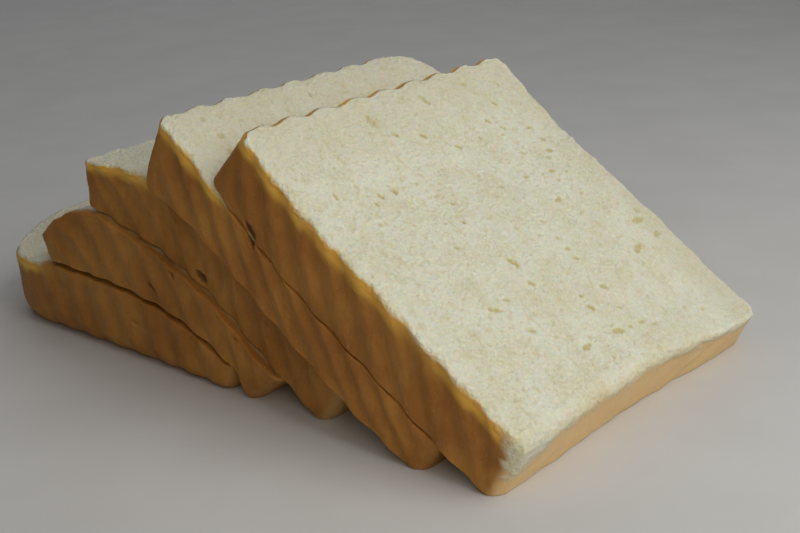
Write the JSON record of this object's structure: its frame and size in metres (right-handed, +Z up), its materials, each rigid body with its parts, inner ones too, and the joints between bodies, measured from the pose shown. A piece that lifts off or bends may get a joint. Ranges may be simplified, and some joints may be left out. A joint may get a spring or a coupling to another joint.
{
  "type": "sliced tin loaf",
  "caption": "Soft white tin loaf with ridged crust, cut into thick slices that have slumped back onto the heel.",
  "frame": {"origin": "centre of the footprint, on the plane that the loaf stands on", "axes": "+X along the stack from the heel towards the first slice, +Y across the loaf, +Z up"},
  "size_m": [0.2178, 0.1152, 0.0778],
  "materials": {
    "slice_bread": "matte",
    "heel_bread": "matte"
  },
  "bodies": {
    "root": {"slice_1": "slice_bread", "slice_2": "slice_bread", "slice_3": "slice_bread", "slice_4": "slice_bread", "heel": "heel_bread"}
  },
  "joints": []
}
